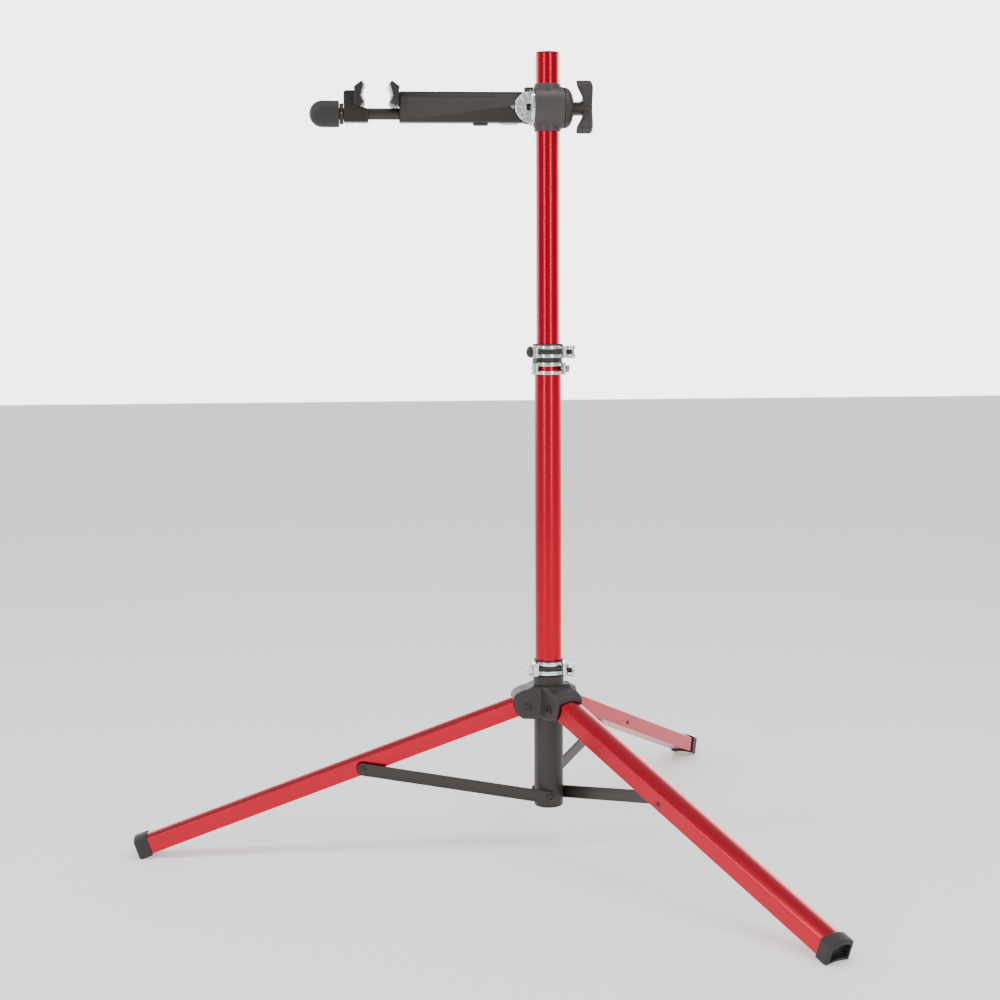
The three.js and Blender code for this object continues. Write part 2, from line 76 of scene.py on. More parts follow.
def studio():
    """White room, bright low behind the stand and dim elsewhere, with four long soft lamps."""
    world = bpy.data.worlds.new("studio")
    bpy.context.scene.world = world
    world.use_nodes = True
    nodes, links = world.node_tree.nodes, world.node_tree.links
    background = nodes["Background"]
    way = nodes.new("ShaderNodeTexCoord")
    parts = nodes.new("ShaderNodeSeparateXYZ")
    links.new(way.outputs["Generated"], parts.inputs["Vector"])
    glow = []
    for axis, start, end in (("Y", -0.1, 0.8), ("Z", 0.5, 0.2)):
        fade = nodes.new("ShaderNodeMapRange")
        fade.interpolation_type = "SMOOTHSTEP"
        fade.inputs["From Min"].default_value = start
        fade.inputs["From Max"].default_value = end
        links.new(parts.outputs[axis], fade.inputs["Value"])
        glow.append(fade.outputs["Result"])
    both = nodes.new("ShaderNodeMath")
    both.operation = "MULTIPLY"
    both.inputs[1].default_value = ROOM_BACK - ROOM_FRONT
    one = nodes.new("ShaderNodeMath")
    one.operation = "MULTIPLY_ADD"
    one.inputs[2].default_value = ROOM_FRONT
    links.new(glow[0], both.inputs[0])
    links.new(glow[1], one.inputs[0])
    links.new(both.outputs["Value"], one.inputs[1])
    links.new(one.outputs["Value"], background.inputs["Strength"])
    background.inputs["Color"].default_value = (1, 1, 1, 1)
    for name, place, size, power in LAMPS:
        light = bpy.data.lights.new(name, "AREA")
        light.shape = "RECTANGLE"
        light.size, light.size_y = size
        light.energy = power
        lamp = bpy.data.objects.new(name, light)
        lamp.location = place
        aim = Vector((MAST_X, 0, LAMP_TARGET_Z)) - lamp.location
        lamp.rotation_euler = aim.to_track_quat("-Z", "Y").to_euler()
        bpy.context.scene.collection.objects.link(lamp)


def floor():
    mesh = bpy.data.meshes.new("floor")
    corners = [(x * FLOOR_HALF, y * FLOOR_HALF, 0) for x, y in ((-1, -1), (1, -1), (1, 1), (-1, 1))]
    mesh.from_pydata(corners, [], [(0, 1, 2, 3)])
    plane = bpy.data.objects.new("floor", mesh)
    bpy.context.scene.collection.objects.link(plane)
    paint = bpy.data.materials.new("floor_white")
    paint.use_nodes = True
    shader = paint.node_tree.nodes["Principled BSDF"]
    shader.inputs["Base Color"].default_value = (0.92, 0.92, 0.92, 1)
    shader.inputs["Roughness"].default_value = 0.8
    shader.inputs["Emission Color"].default_value = (1, 1, 1, 1)
    shader.inputs["Emission Strength"].default_value = 0.35
    mesh.materials.append(paint)


CAMERA_BACK = 2.928                     # distance from the mast
CAMERA_HEIGHT = 0.898
CAMERA_SIDE = math.radians(-6.1)        # how far it stands round the mast from straight ahead
CAMERA_YAW = math.radians(-1.5)
CAMERA_PITCH = math.radians(6.52)
CAMERA_ROLL = math.radians(-0.28)
LENS = 66.56


def camera():
    eye = bpy.data.cameras.new("camera")
    eye.lens = LENS
    eye.sensor_width = 36
    eye.clip_end = 60
    holder = bpy.data.objects.new("camera", eye)
    turn = Matrix.Rotation(CAMERA_SIDE, 3, "Z")
    holder.location = turn @ Vector((0, -CAMERA_BACK, CAMERA_HEIGHT)) + Vector((MAST_X, 0, 0))
    ahead = Vector((
        math.sin(CAMERA_YAW) * math.cos(CAMERA_PITCH),
        math.cos(CAMERA_YAW) * math.cos(CAMERA_PITCH),
        -math.sin(CAMERA_PITCH),
    ))
    aim = (turn @ ahead).to_track_quat("-Z", "Y").to_matrix()
    holder.rotation_euler = (aim @ Matrix.Rotation(CAMERA_ROLL, 3, "Z")).to_euler()
    bpy.context.scene.collection.objects.link(holder)
    bpy.context.scene.camera = holder


camera()
floor()
studio()


# ---- materials ----
def socket(value):
    return value if isinstance(value, (int, float)) else (*value, 1)


def material(name, light, dark, metallic, roughness, grain, bump, coat=0.0, highlight_strength=0.15, stretch=(1, 1, 1)):
    """Two tones mixed by soft noise, roughness varied by it, fine grain as bump, painted highlight on sharp edges.
    """
    made = bpy.data.materials.new(name)
    made.use_nodes = True
    tree = made.node_tree
    nodes, links = tree.nodes, tree.links
    shader = nodes["Principled BSDF"]
    shader.inputs["Metallic"].default_value = metallic
    shader.inputs["Coat Weight"].default_value = coat
    shader.inputs["Coat Roughness"].default_value = 0.12

    place = nodes.new("ShaderNodeTexCoord")
    scaled = nodes.new("ShaderNodeMapping")
    scaled.inputs["Scale"].default_value = stretch
    links.new(place.outputs["Object"], scaled.inputs["Vector"])

    cloud = nodes.new("ShaderNodeTexNoise")
    cloud.inputs["Scale"].default_value = 14
    cloud.inputs["Detail"].default_value = 4
    links.new(scaled.outputs["Vector"], cloud.inputs["Vector"])
    fine = nodes.new("ShaderNodeTexNoise")
    fine.inputs["Scale"].default_value = grain
    fine.inputs["Detail"].default_value = 3
    links.new(scaled.outputs["Vector"], fine.inputs["Vector"])

    tones = nodes.new("ShaderNodeMix")
    tones.data_type = "RGBA"
    tones.inputs["A"].default_value = socket(dark)
    tones.inputs["B"].default_value = socket(light)
    links.new(cloud.outputs["Fac"], tones.inputs["Factor"])

    shape = nodes.new("ShaderNodeNewGeometry")
    # Painted highlight: sharp convex edges, found by pointiness, are mixed towards a much paler tone of the light
    # colour, standing in for light caught on the edges.
    edge = nodes.new("ShaderNodeMapRange")
    edge.inputs["From Min"].default_value = 0.52
    edge.inputs["From Max"].default_value = 0.62
    edge.inputs["To Max"].default_value = highlight_strength
    links.new(shape.outputs["Pointiness"], edge.inputs["Value"])
    painted_edge_highlight = nodes.new("ShaderNodeMix")
    painted_edge_highlight.data_type = "RGBA"
    painted_edge_highlight.inputs["B"].default_value = socket([min(1, 2.2 * v + 0.12) for v in light])
    links.new(edge.outputs["Result"], painted_edge_highlight.inputs["Factor"])
    links.new(tones.outputs["Result"], painted_edge_highlight.inputs["A"])
    links.new(painted_edge_highlight.outputs["Result"], shader.inputs["Base Color"])

    rough = nodes.new("ShaderNodeMapRange")
    rough.inputs["To Min"].default_value = max(0.02, roughness - 0.06)
    rough.inputs["To Max"].default_value = roughness + 0.06
    links.new(fine.outputs["Fac"], rough.inputs["Value"])
    links.new(rough.outputs["Result"], shader.inputs["Roughness"])

    lift = nodes.new("ShaderNodeBump")
    lift.inputs["Strength"].default_value = bump
    lift.inputs["Distance"].default_value = 0.0004
    links.new(fine.outputs["Fac"], lift.inputs["Height"])
    links.new(lift.outputs["Normal"], shader.inputs["Normal"])
    return made


LOOKS = {
    "red_anodised": material(
        "red_anodised", (0.52, 0.004, 0.024), (0.44, 0.002, 0.018), 0.9, 0.24, 900, 0.01, coat=0.03),
    "black_plastic": material(
        "black_plastic", (0.028, 0.022, 0.02), (0.02, 0.016, 0.014), 0, 0.5, 1500, 0.25),
    "black_anodised": material(
        "black_anodised", (0.024, 0.018, 0.016), (0.017, 0.013, 0.011), 0.2, 0.38, 1200, 0.06, coat=0.04),
    "grey_casting": material(
        "grey_casting", (0.056, 0.047, 0.044), (0.043, 0.036, 0.033), 0.1, 0.45, 1300, 0.2),
    "silver_zinc": material("silver_zinc", (0.82, 0.85, 0.84), (0.66, 0.7, 0.69), 1, 0.18, 700, 0.06),
    "steel": material("steel", (0.5, 0.48, 0.46), (0.36, 0.35, 0.34), 1, 0.3, 900, 0.1),
    "foot_rubber": material("foot_rubber", (0.02, 0.017, 0.017), (0.013, 0.011, 0.011), 0, 0.6, 1800, 0.3),
    # jaw_pad: the light grey base colour is a painted reflection; the pads are dark rubber whose faces catch
    # grazing light.
    "jaw_pad": material("jaw_pad", (0.55, 0.55, 0.54), (0.42, 0.42, 0.41), 0.3, 0.4, 1400, 0.3),
}
SLOTS = {part["node"]: part["material_slot"] for part in frame["record"]["subparts"]}


BODIES = {
    node: body for body, nodes in frame["record"]["behaviour"]["bodies"].items() for node in nodes
}


def dress(obj, look):
    obj.data.materials.clear()
    obj.data.materials.append(LOOKS[look])


for node, obj in frame["nodes"].items():
    dress(obj, SLOTS[node])


# ---- solids: millimetres from the mast axis, turned into objects in the row frame ----
def solid(name, points, faces):
    mesh = bpy.data.meshes.new(name)
    mesh.from_pydata([(x * MM + MAST_X, y * MM, z * MM) for x, y, z in points], [], faces)
    work = bmesh.new()
    work.from_mesh(mesh)
    bmesh.ops.remove_doubles(work, verts=work.verts, dist=1e-7)
    bmesh.ops.recalc_face_normals(work, faces=work.faces)
    work.to_mesh(mesh)
    work.free()
    obj = bpy.data.objects.new(name, mesh)
    bpy.context.scene.collection.objects.link(obj)
    return obj


def fillet(points, radius, steps=4):
    """Closed outline with rounded corners. Points on the turning axis stay as they are."""
    made = []
    for index, point in enumerate(points):
        corner = Vector(point)
        before = Vector(points[index - 1]) - corner
        after = Vector(points[(index + 1) % len(points)]) - corner
        half = before.angle(after) / 2
        if half > math.radians(80) or abs(corner.x) < 1e-6:
            made.append(tuple(corner))
            continue
        reach = min(radius / math.tan(half), before.length * 0.45, after.length * 0.45)
        start = corner + before.normalized() * reach
        end = corner + after.normalized() * reach
        for step in range(steps + 1):
            t = step / steps
            made.append(tuple(start * (1 - t) ** 2 + corner * (2 * t * (1 - t)) + end * t ** 2))
    return made


def turn_point(axis, r, along, angle, at):
    u, v = r * math.cos(angle), r * math.sin(angle)
    x, y, z = {"x": (along, u, v), "y": (v, along, u), "z": (u, v, along)}[axis]
    return (x + at[0], y + at[1], z + at[2])


def turned(name, profile, axis="z", at=(0, 0, 0), sides=96, round_off=0.0, flutes=0, depth=0.0):
    """Closed profile of (radius, along) turned about an axis, with shallow flutes on its widest part."""
    if round_off:
        profile = fillet(profile, round_off)
    widest = max(r for r, _ in profile)
    points, rings = [], []
    for r, along in profile:
        if r < 1e-6:
            rings.append([len(points)] * sides)
            points.append(turn_point(axis, 0, along, 0, at))
            continue
        rings.append(list(range(len(points), len(points) + sides)))
        for n in range(sides):
            angle = 2 * math.pi * n / sides
            cut = depth * (0.5 - 0.5 * math.cos(flutes * angle)) if flutes and r > widest - 0.4 else 0
            points.append(turn_point(axis, r - cut, along, angle, at))
    faces = []
    for ring, following in zip(rings, rings[1:] + rings[:1]):
        for n in range(sides):
            m = (n + 1) % sides
            face = list(dict.fromkeys((ring[n], ring[m], following[m], following[n])))
            if len(face) > 2:
                faces.append(face)
    return solid(name, points, faces)


def rod(name, r, start, end, axis="z", at=(0, 0, 0), sides=96):
    return turned(name, [(0, start), (r, start), (r, end), (0, end)], axis, at, sides)


def loft(name, rings, closed=False):
    """Skin over rings of equally many points, with flat ends or closed on itself."""
    count = len(rings[0])
    points = [point for ring in rings for point in ring]
    faces = []
    for level in range(len(rings) if closed else len(rings) - 1):
        low, high = level * count, (level + 1) % len(rings) * count
        for n in range(count):
            m = (n + 1) % count
            faces.append((low + n, low + m, high + m, high + n))
    if not closed:
        faces.append(tuple(range(count)))
        faces.append(tuple(range(len(points) - count, len(points))))
    return solid(name, points, faces)


def swung(points, degrees):
    c, s = math.cos(math.radians(degrees)), math.sin(math.radians(degrees))
    return [(x * c - y * s, x * s + y * c, z) for x, y, z in points]


def slab(name, outline, y0, y1, corner=0.0, edge=0.0, at=(0, 0, 0), degrees=0, about_x=0):
    """Plate in the XZ plane between two Y values, with rounded corners and edges."""
    shape = fillet(outline, corner) if corner else outline
    turn = Matrix.Rotation(math.radians(about_x), 3, "X")
    rings = []
    for y in (y0, y1):
        ring = [turn @ Vector((x, y, z)) for x, z in shape]
        ring = [(p.x + at[0], p.y + at[1], p.z + at[2]) for p in ring]
        rings.append(swung(ring, degrees))
    obj = loft(name, rings)
    if edge:
        bevel(obj, edge)
    return obj


def block(name, low, high, edge=0.0):
    front = [(low[0], low[2]), (high[0], low[2]), (high[0], high[2]), (low[0], high[2])]
    obj = slab(name, front, low[1], high[1])
    if edge:
        bevel(obj, edge)
    return obj


# ---- moves on a whole object ----
def bake(obj):
    made = bpy.data.meshes.new_from_object(obj.evaluated_get(bpy.context.evaluated_depsgraph_get()))
    old = obj.data
    obj.modifiers.clear()
    obj.data = made
    bpy.data.meshes.remove(old)
    return obj


def bevel(obj, width, segments=3, limit=30):
    move = obj.modifiers.new("bevel", "BEVEL")
    move.width = width * MM
    move.segments = segments
    move.angle_limit = math.radians(limit)
    move.use_clamp_overlap = True
    return bake(obj)


def carve(base, others, operation="DIFFERENCE"):
    for other in others:
        move = base.modifiers.new("cut", "BOOLEAN")
        move.operation = operation
        move.solver = "MANIFOLD"
        move.object = other
    bake(base)
    for other in others:
        bpy.data.objects.remove(other)
    return base


def fuse(base, others):
    return carve(base, others, "UNION")


def soften(obj, voxel=0.7, rounds=5):
    """Even skin whose edges and inner corners are rounded, as on a moulded or cast piece."""
    skin = obj.modifiers.new("skin", "REMESH")
    skin.mode = "VOXEL"
    skin.voxel_size = voxel * MM
    move = obj.modifiers.new("smooth", "SMOOTH")
    move.factor = 0.5
    move.iterations = rounds
    return bake(obj)


def finished(obj, node, sharp=34):
    """Stands for one CAD node: its body and its material."""
    obj.name = f"fine_{node}"
    obj.data.name = obj.name
    dress(obj, SLOTS[node])
    for face in obj.data.polygons:
        face.use_smooth = True
    obj.data.set_sharp_from_angle(angle=math.radians(sharp))
    even = obj.modifiers.new("even", "WEIGHTED_NORMAL")
    even.weight = 95
    even.keep_sharp = True
    bake(obj)
    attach(obj, BODIES[node])
    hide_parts(node)
    return obj


def smoothed(node, edge, segments=3):
    """Detailed copy of a flat-sided CAD node with rounded edges."""
    source = frame["nodes"][node]
    obj = bpy.data.objects.new(node, source.data.copy())
    bpy.context.scene.collection.objects.link(obj)
    obj.matrix_world = source.matrix_world
    obj.data.transform(obj.matrix_world)
    obj.matrix_world = Matrix.Identity(4)
    work = bmesh.new()
    work.from_mesh(obj.data)
    bmesh.ops.remove_doubles(work, verts=work.verts, dist=1e-6)
    bmesh.ops.dissolve_limit(work, angle_limit=math.radians(1), verts=work.verts, edges=work.edges)
    work.to_mesh(obj.data)
    work.free()
    bevel(obj, edge, segments)
    return finished(obj, node)


def span(node, axis):
    low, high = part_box(node)
    shift = MAST_X if axis == 0 else 0
    return (low[axis] - shift) / MM, (high[axis] - shift) / MM


# ---- mast ----
def tube(node, wall):
    low, high = span(node, 2)
    r = (span(node, 0)[1] - span(node, 0)[0]) / 2
    profile = [(r - wall, low), (r, low), (r, high), (r - wall, high)]
    finished(turned(node, profile, round_off=0.5, sides=128), node)


tube("lower_mast_tube", 1.8)
tube("upper_mast_tube", 1.6)
UPPER_R = (span("upper_mast_tube", 0)[1] - span("upper_mast_tube", 0)[0]) / 2
PLUG_LOW, PLUG_TOP = span("mast_top_plug", 2)
finished(turned("plug", [
    (0, PLUG_LOW), (16.2, PLUG_LOW), (16.2, PLUG_TOP - 1.7), (UPPER_R, PLUG_TOP - 1.7),
    (UPPER_R, PLUG_TOP - 0.8), (UPPER_R - 1.4, PLUG_TOP), (12.5, PLUG_TOP), (11.8, PLUG_TOP - 0.9),
    (0, PLUG_TOP - 0.9),
], round_off=0.3), "mast_top_plug")

FOOT_LOW, FOOT_TOP = span("mast_foot_plug", 2)
SLEEVE_LOW, SLEEVE_TOP = span("mast_sleeve", 2)
SLEEVE_R = 23.35
STRUT_Z = 84
STRUT_INNER = 24
LEG_ANGLES = {"left": 180, "front": -60, "back": 60}
finished(turned("plug", [
    (0, FOOT_LOW + 1.2), (15, FOOT_LOW + 1.2), (16, FOOT_LOW), (21, FOOT_LOW), (SLEEVE_R, FOOT_LOW + 2),
    (SLEEVE_R, SLEEVE_LOW - 0.3), (18.8, SLEEVE_LOW - 0.3), (18.8, FOOT_TOP), (0, FOOT_TOP),
], round_off=0.6), "mast_foot_plug")

sleeve = turned("sleeve", [
    (21.3, SLEEVE_LOW), (SLEEVE_R, SLEEVE_LOW), (SLEEVE_R, SLEEVE_TOP), (21.3, SLEEVE_TOP),
], round_off=0.5, sides=128)
bosses = []
for degrees in LEG_ANGLES.values():
    wall = [(3.3, 15), (9, 15), (9, STRUT_INNER - 0.3), (3.3, STRUT_INNER - 0.3)]
    boss = turned("boss", wall, "y", round_off=0.8)
    boss.data.transform(Matrix.Translation((-MAST_X, 0, STRUT_Z * MM)))
    boss.data.transform(Matrix.Rotation(math.radians(degrees), 4, "Z"))
    boss.data.transform(Matrix.Translation((MAST_X, 0, 0)))
    bosses.append(boss)
fuse(sleeve, bosses)
carve(sleeve, [rod("bore", 21.3, SLEEVE_LOW - 5, SLEEVE_TOP + 5)])
finished(sleeve, "mast_sleeve")


# ---- clamp bands ----
BAND_BORE = 22.6
BAND_R = 24.8
LUG_IN = 18
LUG_LEFT = 28
LUG_RIGHT = 26
SKEWER_Y = -26
WINDOW_H = 7.4
BAND_Z = span("hub_band", 2)[0]
BAND_H = span("hub_band", 2)[1] - BAND_Z
CLAMP_Z = span("mast_clamp", 2)[0]
CLAMP_H = span("mast_clamp", 2)[1] - CLAMP_Z


def band(z0, z1, heights, gap=None):
    wall = [(BAND_BORE, z0), (BAND_R, z0), (BAND_R, z1), (BAND_BORE, z1)]
    made = turned("band", wall, round_off=0.4, sides=128)
    fuse(made, [
        block("lug", (LUG_IN, -32, z0), (LUG_RIGHT, -8, z1), 2.6),
        block("lug", (-LUG_LEFT, -32, z0), (-LUG_IN, -8, z1), 2.6),
    ])
    cuts = [rod("bore", BAND_BORE, z0 - 1, z1 + 1, sides=128)]
    cuts.append(block("slit", (LUG_IN + 0.8, -40, z0 - 1), (LUG_IN + 2, -12, z1 + 1)))
    for z in heights:
        cuts.append(block("window", (-LUG_IN, -40, z - WINDOW_H / 2), (LUG_IN, -8, z + WINDOW_H / 2), 1.4))
        cuts.append(rod("hole", 3.6, -40, 40, "x", (0, SKEWER_Y, z), 32))
    if gap:
        cuts.append(block("gap", (-40, -40, gap[0]), (40, 6, gap[1]), 1.0))
    return soften(carve(made, cuts), 0.45, 4)


BAND_SKEWER_Z = BAND_Z + BAND_H / 2
CLAMP_SKEWER_Z = CLAMP_Z + 35.9
CLAMP_SCREW_Z = CLAMP_Z + 9.4
finished(band(BAND_Z, BAND_Z + BAND_H, [BAND_SKEWER_Z]), "hub_band")
CLAMP_GAP = (CLAMP_Z + 18.9, CLAMP_Z + 26.3)
finished(band(CLAMP_Z, CLAMP_Z + CLAMP_H, [CLAMP_SKEWER_Z, CLAMP_SCREW_Z], CLAMP_GAP), "mast_clamp")
CLAMP_TOP = CLAMP_Z + CLAMP_H
LIP_LOW, LIP_TOP = span("mast_clamp_bushing", 2)
finished(turned("lip", [
    (21.3, LIP_LOW), (22.3, LIP_LOW), (22.3, CLAMP_TOP + 0.3), (24.2, CLAMP_TOP + 0.3), (24.2, LIP_TOP),
    (18.6, LIP_TOP), (18.6, LIP_TOP - 2.7), (21.3, LIP_TOP - 2.7),
], round_off=0.5, sides=128), "mast_clamp_bushing")
LIP_LOW, LIP_TOP = span("hub_bushing", 2)
finished(turned("lip", [
    (21.5, LIP_LOW), (22.3, LIP_LOW), (22.3, BAND_Z + BAND_H + 0.3), (23.8, BAND_Z + BAND_H + 0.3),
    (23.8, LIP_TOP), (21.5, LIP_TOP),
], round_off=0.4, sides=128), "hub_bushing")


def thread(r, start, end, pitch, depth):
    """Profile side of a screw thread, as closely spaced grooves."""
    made = []
    at = start
    while at + pitch < end:
        made += [(r - depth, at), (r - depth, at + pitch * 0.15)]
        made += [(r, at + pitch * 0.45), (r, at + pitch * 0.75)]
        at += pitch
    return made + [(r - depth, at)]


def arc(x, z, r, start, end, steps):
    made = []
    for step in range(steps + 1):
        angle = math.radians(start + (end - start) * step / steps)
        made.append((x + r * math.cos(angle), z + r * math.sin(angle)))
    return made


# angle round the mast, half height, half thickness
GRIP_STATIONS = (
    (-14, 5.2, 1.7), (-6, 5.6, 2.1), (6, 6.4, 2.0), (22, 6.8, 1.7),
    (44, 6.4, 1.6), (58, 5.2, 1.5), (62, 3.6, 0.8),
)


def quick_release(name, z):
    at = (0, SKEWER_Y, z)
    low, high = span(f"{name}_skewer", 0)
    finished(turned("skewer", [
        (0, low), (2.7, low), (3.2, low + 0.6), (3.2, high - 3), (3.2, high - 0.8), (2.4, high), (0, high),
    ], "x", at, 48, 0.3), f"{name}_skewer")
    low, high = span(f"{name}_adjusting_nut", 0)
    finished(turned("nut", [
        (0, low), (3, low + 0.4), (5.6, low + 1.5), (7.6, low + 3.3), (8.9, low + 5.6), (9.3, low + 7),
        (9.3, high - 0.6), (8.8, high), (3.5, high), (3.5, high - 7.6), (0, high - 7.6),
    ], "x", at, 96, 0.4, 24, 0.35), f"{name}_adjusting_nut")
    place = JOINTS[f"{name}_lever_swing"]["pos_m"]
    hinge = ((place[0] - MAST_X) / MM, place[1] / MM)
    cam = turned("cam", [
        (0, -10), (5.6, -10), (7.3, -8.6), (7.3, 8.6), (5.6, 10), (0, 10),
    ], "z", (*hinge, z), 64, 1)
    fork = block("fork", (hinge[0] - 20, hinge[1] - 20, z - 3.7), (hinge[0] + 20, hinge[1] + 3.7, z + 3.7))
    carve(cam, [fork])
    grip = [[
        (hinge[0] + u, hinge[1] + 4.4, z + v)
        for u, v in fillet([(-1.9, -5), (3.4, -5), (3.4, 5), (-1.9, 5)], 1.2)
    ]]
    for angle, half, thick in GRIP_STATIONS:
        c, s = math.cos(math.radians(angle)), math.sin(math.radians(angle))
        section = fillet([(-thick, -half), (thick, -half), (thick, half), (-thick, half)], 1.2)
        grip.append([((32.5 + u) * c, (32.5 + u) * s, z + v) for u, v in section])
    lever = soften(fuse(cam, [loft("grip", grip)]), 0.4, 4)
    profile = [(0, -10), (2, -10), (2.6, -9.7), (2.6, 9.7), (2, 10), (0, 10)]
    pin = turned("pin", profile, "z", (*hinge, z), 32)
    middle = block("middle", (hinge[0] - 9, hinge[1] - 9, z - 8), (hinge[0] + 9, hinge[1] + 9, z + 8))
    ends = carve(pin, [middle])
    carve(lever, [rod("ring", 3, -12, 12, "z", (*hinge, z), 48)])
    fuse(lever, [ends])
    core = rod("core", 3.05, -9.4, 9.4, "z", (*hinge, z), 48)
    fuse(lever, [carve(core, [rod("eye", 4, -3.7, 3.7, "z", (*hinge, z), 48)])])
    finished(lever, f"{name}_lever")


quick_release("mast_clamp", CLAMP_SKEWER_Z)
quick_release("hub", BAND_SKEWER_Z)


def socket_screw(node, profile, axis, at, mouth, depth, across, ends=1):
    """Turned screw with a six-sided socket in its head."""
    made = turned("screw", profile, axis, at, 64, 0.35)
    cuts = [rod("socket", across, mouth - depth, mouth + 1, axis, at, 6)]
    if ends == 2:
        cuts.append(rod("socket", across, -mouth - 1, -mouth + depth, axis, at, 6))
    return finished(carve(made, cuts), node) if node else carve(made, cuts)


socket_screw("mast_clamp_screw", [
    (0, LUG_IN + 2.5), (2.8, LUG_IN + 2.5), (2.8, LUG_RIGHT + 0.3), (5.6, LUG_RIGHT + 0.3),
    (5.6, LUG_RIGHT + 4.2), (4.8, LUG_RIGHT + 5.2), (0, LUG_RIGHT + 5.2),
], "x", (0, SKEWER_Y, CLAMP_SCREW_Z), LUG_RIGHT + 5.2, 3, 2.8)


# ---- hub ----
HUB_LOW, NECK_TOP = span("hub_casting", 2)
PIVOT_R = 36
PIVOT_Z = HUB_LOW + 20.5
LEG_SPREAD = math.radians(70.4)
ALONG = (math.sin(LEG_SPREAD), -math.cos(LEG_SPREAD))
ACROSS = (math.cos(LEG_SPREAD), math.sin(LEG_SPREAD))
LEG_HALF = 19.5


def from_pivot(across, along):
    return (
        PIVOT_R + ACROSS[0] * across + ALONG[0] * along,
        PIVOT_Z + ACROSS[1] * across + ALONG[1] * along,
    )


def around(obj, degrees):
    """Turns a piece made over +X to one leg's side of the mast."""
    obj.data.transform(Matrix.Translation((-MAST_X, 0, 0)))
    obj.data.transform(Matrix.Rotation(math.radians(degrees), 4, "Z"))
    obj.data.transform(Matrix.Translation((MAST_X, 0, 0)))
    return obj


PIVOT_DROP = 4.5        # leg's centre line above the pivot
LEG_LENGTH = 661.5      # from the pivot to the end of the foot cap
LEG_START = -8
STRUT_REACH = 280.7     # from the pivot to the strut's rivet
STRUT_T = 4
CURVE = 12              # steps in the crown and in the hollow


def leg_section(grow, corner=1.8):
    """Outline of a leg across its length: crowned on top, hollowed underneath."""
    wide = LEG_HALF + grow
    low = PIVOT_DROP - 15 - grow
    high = PIVOT_DROP + 11 + grow
    steps = [n / CURVE for n in range(CURVE + 1)]
    under = [(-wide + 2 * wide * t, low + 10 * t * (1 - t)) for t in steps]
    crown = [(wide - 2 * wide * t, high + 18 * t * (1 - t)) for t in steps]
    return fillet(under + crown, corner, 5)


def leg_ring(grow, along, degrees, corner=1.8):
    ring = []
    for lateral, across in leg_section(grow, corner):
        x, z = from_pivot(across, along)
        ring.append((x, lateral, z))
    return swung(ring, degrees)


def leg_loft(name, stages, degrees, closed=False, corner=1.8):
    return loft(name, [leg_ring(grow, along, degrees, corner) for grow, along in stages], closed)


hub = rod("hub", 26, HUB_LOW, HUB_LOW + 55)
hub_parts = [rod("neck", 24.6, HUB_LOW + 40, NECK_TOP)]
hub_cuts = []
for degrees in LEG_ANGLES.values():
    hood = slab("hood", [
        (12, HUB_LOW), (44, HUB_LOW + 1), (53, HUB_LOW + 9), (58.5, HUB_LOW + 21), (59.5, HUB_LOW + 34),
        (56, HUB_LOW + 41), (46, HUB_LOW + 46.5), (34, HUB_LOW + 50), (26, HUB_LOW + 55),
        (12, HUB_LOW + 55),
    ], -26, 26, 6)
    hub_parts.append(around(bevel(hood, 6, 5, 40), degrees))
    reach = 22.2
    turns = [
        (PIVOT_R + reach * math.cos(math.radians(angle)), PIVOT_Z + reach * math.sin(math.radians(angle)))
        for angle in (118, 106, 94, 82, 70.4)
    ]
    slot_shape = [
        (24.3, HUB_LOW - 20), (24.3, PIVOT_Z + 19.5), *turns, from_pivot(21, 5.5), from_pivot(16.3, 12),
        from_pivot(16.3, 70), (110, HUB_LOW - 20),
    ]
    hub_cuts.append(around(slab("slot", slot_shape, -LEG_HALF - 0.8, LEG_HALF + 0.8), degrees))
    hub_cuts.append(leg_loft("crown", [(0.8, LEG_START - 1), (0.8, 70)], degrees))
    hub_cuts.append(around(rod("hole", 4.4, -40, 40, "y", (PIVOT_R, 0, PIVOT_Z), 32), degrees))
hub_cuts.append(rod("bore", 21.6, HUB_LOW - 20, NECK_TOP + 20))
finished(soften(carve(fuse(hub, hub_parts), hub_cuts), 0.8, 10), "hub_casting")

# ---- legs and struts ----
RIVET_X, RIVET_Z = from_pivot(0, STRUT_REACH)
STRUT_LENGTH = math.hypot(RIVET_X, RIVET_Z - STRUT_Z)
STRUT_TILT = math.atan2(RIVET_Z - STRUT_Z, RIVET_X)


def strut_shape(half):
    shape = []
    for middle, first in ((0, 90), (STRUT_LENGTH, -90)):
        for step in range(25):
            angle = math.radians(first + step * 7.5)
            shape.append((middle + half * math.cos(angle), half * math.sin(angle)))
    turn = Matrix.Rotation(STRUT_TILT, 2)
    return [tuple(turn @ Vector(point)) for point in shape]


